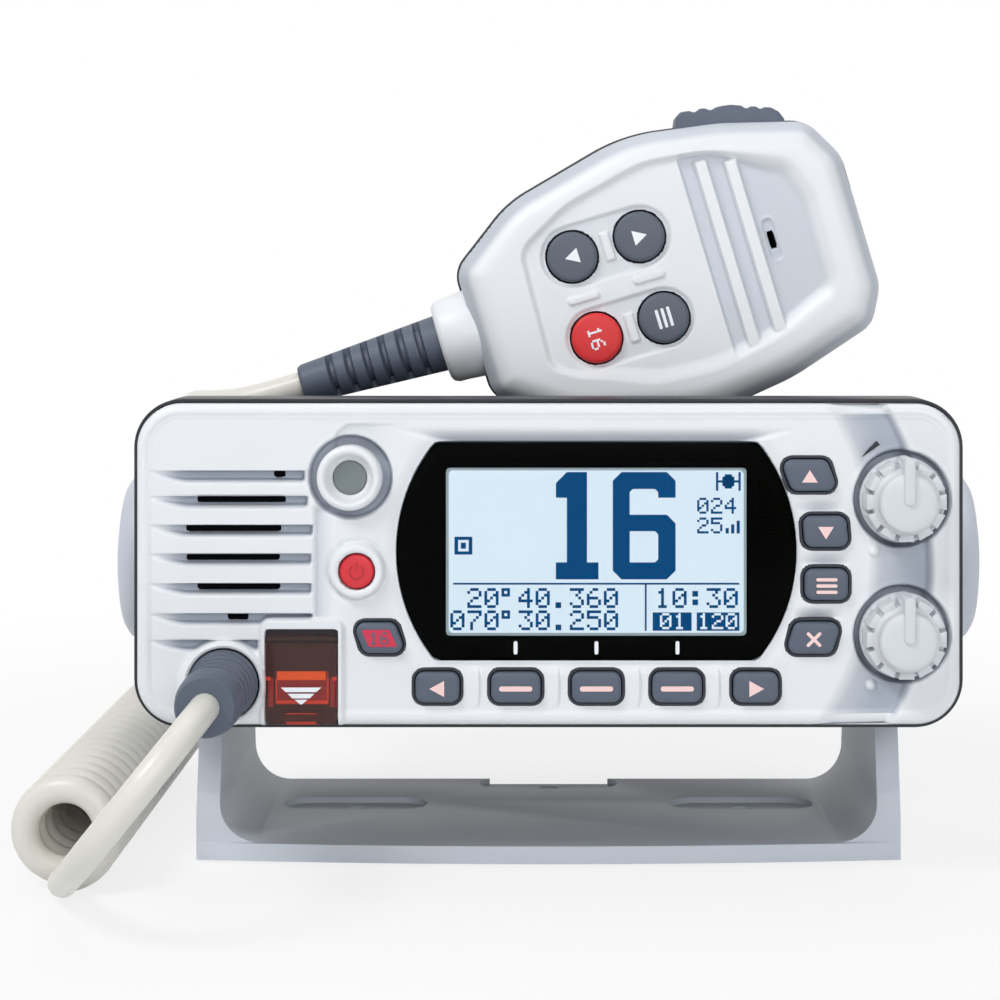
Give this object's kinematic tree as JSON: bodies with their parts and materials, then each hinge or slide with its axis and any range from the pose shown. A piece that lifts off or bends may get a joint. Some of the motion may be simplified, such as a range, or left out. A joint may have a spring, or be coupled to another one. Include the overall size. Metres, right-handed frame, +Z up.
{
  "type": "vhf marine radio",
  "caption": "Fixed-mount marine VHF radio with louvred speaker panel, display, keys and knobs, tilting in a U bracket, with a hand microphone on a curly cord.",
  "frame": {"origin": "underside of the mounting bracket, midway between its arms and directly under the tilt axis", "axes": "+X to the user's right, +Y away from the user towards the rear connectors, +Z up"},
  "size_m": [0.2208, 0.2186, 0.1742],
  "materials": {
    "white_plastic": "fine satin moulded plastic",
    "bracket_plastic": "satin moulded plastic",
    "dark_plastic": "fine matt moulded plastic",
    "slate_rubber": "matt slate grey rubber",
    "key_rubber": "satin slate grey key with printed sign",
    "red_key": "satin red key",
    "grey_key": "satin grey key",
    "clear_window": "clear, polished",
    "display_black": "black print",
    "display_glass": "backlit pale blue",
    "red_clear": "dark red see-through plastic, polished",
    "black_cast": "black powder coat",
    "steel": "plain",
    "brass": "turned",
    "plated": "nickel plated",
    "ptfe": "plain",
    "board": "green solder mask",
    "silicone": "translucent silicone",
    "speaker_cone": "coated paper",
    "screen_mesh": "fine cloth",
    "black_rubber": "matt rubber",
    "cord_jacket": "smooth warm white cord jacket"
  },
  "bodies": {
    "bracket": {"mounting_bracket": "bracket_plastic", "cord_coil": "cord_jacket", "cord_lead_front": "cord_jacket", "cord_lead_rear_lower": "cord_jacket"},
    "radio": {"front_panel": "white_plastic", "panel_surround": "dark_plastic", "panel_screws": "steel", "rear_chassis": "black_cast", "side_inserts": "brass", "bracket_washers": "black_rubber", "main_board": "board", "antenna_socket": "plated", "antenna_insulator": "ptfe", "rear_glands": "black_rubber", "display_window": "clear_window", "display_mask": "display_black", "lcd_module": "display_glass", "speaker": "speaker_cone", "speaker_screen": "screen_mesh", "key_mat": "silicone", "front_board": "board", "encoders": "steel", "hanger_stud": "white_plastic", "hanger_plug": "grey_key", "cover_pin": "steel", "panel_cord_boot": "slate_rubber", "cord_lead_rear_upper": "cord_jacket"},
    "left_bracket_knob": {"left_knob": "white_plastic", "left_knob_stud": "steel"},
    "right_bracket_knob": {"right_knob": "white_plastic", "right_knob_stud": "steel"},
    "mic": {"mic_front_shell": "white_plastic", "mic_rear_shell": "dark_plastic", "mic_board": "board", "mic_capsule": "dark_plastic", "mic_boot": "slate_rubber", "mic_hanger_button": "dark_plastic", "mic_screws": "steel"},
    "volume": {"volume_knob": "white_plastic", "volume_shaft": "steel"},
    "squelch": {"squelch_knob": "white_plastic", "squelch_shaft": "steel"},
    "power_button": {"power_button": "red_key"},
    "distress_cover": {"distress_cover": "red_clear"},
    "distress_key": {"distress_key": "red_key"},
    "ptt_key": {"ptt_key": "slate_rubber"},
    "channel_key": {"channel_key": "key_rubber"},
    "soft_key_left": {"soft_key_left": "key_rubber"},
    "soft_key_1": {"soft_key_1": "key_rubber"},
    "soft_key_2": {"soft_key_2": "key_rubber"},
    "soft_key_3": {"soft_key_3": "key_rubber"},
    "soft_key_right": {"soft_key_right": "key_rubber"},
    "up_key": {"up_key": "key_rubber"},
    "down_key": {"down_key": "key_rubber"},
    "menu_key": {"menu_key": "key_rubber"},
    "clear_key": {"clear_key": "key_rubber"},
    "mic_up_key": {"mic_up_key": "grey_key"},
    "mic_down_key": {"mic_down_key": "grey_key"},
    "mic_channel_key": {"mic_channel_key": "red_key"},
    "mic_power_key": {"mic_power_key": "grey_key"}
  },
  "joints": [
    {"name": "radio_tilt", "type": "hinge", "parent": "bracket", "child": "radio", "pos_m": [0, 0, 0.0653], "axis": [1, 0, 0], "range_deg": [-20, 15], "deforming": ["cord_lead_front", "cord_lead_rear_lower"]},
    {"name": "left_bracket_knob_turn", "type": "hinge", "parent": "radio", "child": "left_bracket_knob", "pos_m": [-0.0921, 0, 0.0653], "axis": [-1, 0, 0], "continuous": true},
    {"name": "right_bracket_knob_turn", "type": "hinge", "parent": "radio", "child": "right_bracket_knob", "pos_m": [0.0921, 0, 0.0653], "axis": [1, 0, 0], "continuous": true},
    {"name": "mic_lift", "type": "slide", "parent": "radio", "child": "mic", "axis": [0, 0, 1], "range_m": [0, 0.04], "deforming": ["cord_lead_rear_upper"]},
    {"name": "volume_turn", "type": "hinge", "parent": "radio", "child": "volume", "pos_m": [0.0769, -0.058, 0.0846], "axis": [0, 1, 0], "range_deg": [-150, 150]},
    {"name": "squelch_turn", "type": "hinge", "parent": "radio", "child": "squelch", "pos_m": [0.0769, -0.058, 0.0551], "axis": [0, 1, 0], "range_deg": [-150, 150]},
    {"name": "power_press", "type": "slide", "parent": "radio", "child": "power_button", "axis": [0, 1, 0], "range_m": [0, 0.001], "stiffness_N_per_m": 1500},
    {"name": "distress_cover_swing", "type": "hinge", "parent": "radio", "child": "distress_cover", "pos_m": [-0.0536, -0.0571, 0.054], "axis": [-1, 0, 0], "range_deg": [0, 98], "stiffness_Nm_per_rad": 0.004},
    {"name": "distress_press", "type": "slide", "parent": "radio", "child": "distress_key", "axis": [0, 1, 0], "range_m": [0, 0.001], "stiffness_N_per_m": 1500},
    {"name": "push_to_talk_press", "type": "slide", "parent": "mic", "child": "ptt_key", "axis": [0.0279, 0, -0.9996], "range_m": [0, 0.0015], "stiffness_N_per_m": 1500},
    {"name": "channel_key_press", "type": "slide", "parent": "radio", "child": "channel_key", "axis": [0, 1, 0], "range_m": [0, 0.001], "stiffness_N_per_m": 1500},
    {"name": "soft_key_left_press", "type": "slide", "parent": "radio", "child": "soft_key_left", "axis": [0, 1, 0], "range_m": [0, 0.001], "stiffness_N_per_m": 1500},
    {"name": "soft_key_1_press", "type": "slide", "parent": "radio", "child": "soft_key_1", "axis": [0, 1, 0], "range_m": [0, 0.001], "stiffness_N_per_m": 1500},
    {"name": "soft_key_2_press", "type": "slide", "parent": "radio", "child": "soft_key_2", "axis": [0, 1, 0], "range_m": [0, 0.001], "stiffness_N_per_m": 1500},
    {"name": "soft_key_3_press", "type": "slide", "parent": "radio", "child": "soft_key_3", "axis": [0, 1, 0], "range_m": [0, 0.001], "stiffness_N_per_m": 1500},
    {"name": "soft_key_right_press", "type": "slide", "parent": "radio", "child": "soft_key_right", "axis": [0, 1, 0], "range_m": [0, 0.001], "stiffness_N_per_m": 1500},
    {"name": "up_key_press", "type": "slide", "parent": "radio", "child": "up_key", "axis": [0, 1, 0], "range_m": [0, 0.001], "stiffness_N_per_m": 1500},
    {"name": "down_key_press", "type": "slide", "parent": "radio", "child": "down_key", "axis": [0, 1, 0], "range_m": [0, 0.001], "stiffness_N_per_m": 1500},
    {"name": "menu_key_press", "type": "slide", "parent": "radio", "child": "menu_key", "axis": [0, 1, 0], "range_m": [0, 0.001], "stiffness_N_per_m": 1500},
    {"name": "clear_key_press", "type": "slide", "parent": "radio", "child": "clear_key", "axis": [0, 1, 0], "range_m": [0, 0.001], "stiffness_N_per_m": 1500},
    {"name": "mic_up_key_press", "type": "slide", "parent": "mic", "child": "mic_up_key", "axis": [0, 1, 0], "range_m": [0, 0.001], "stiffness_N_per_m": 1500},
    {"name": "mic_down_key_press", "type": "slide", "parent": "mic", "child": "mic_down_key", "axis": [0, 1, 0], "range_m": [0, 0.001], "stiffness_N_per_m": 1500},
    {"name": "mic_channel_key_press", "type": "slide", "parent": "mic", "child": "mic_channel_key", "axis": [0, 1, 0], "range_m": [0, 0.001], "stiffness_N_per_m": 1500},
    {"name": "mic_power_key_press", "type": "slide", "parent": "mic", "child": "mic_power_key", "axis": [0, 1, 0], "range_m": [0, 0.001], "stiffness_N_per_m": 1500}
  ]
}
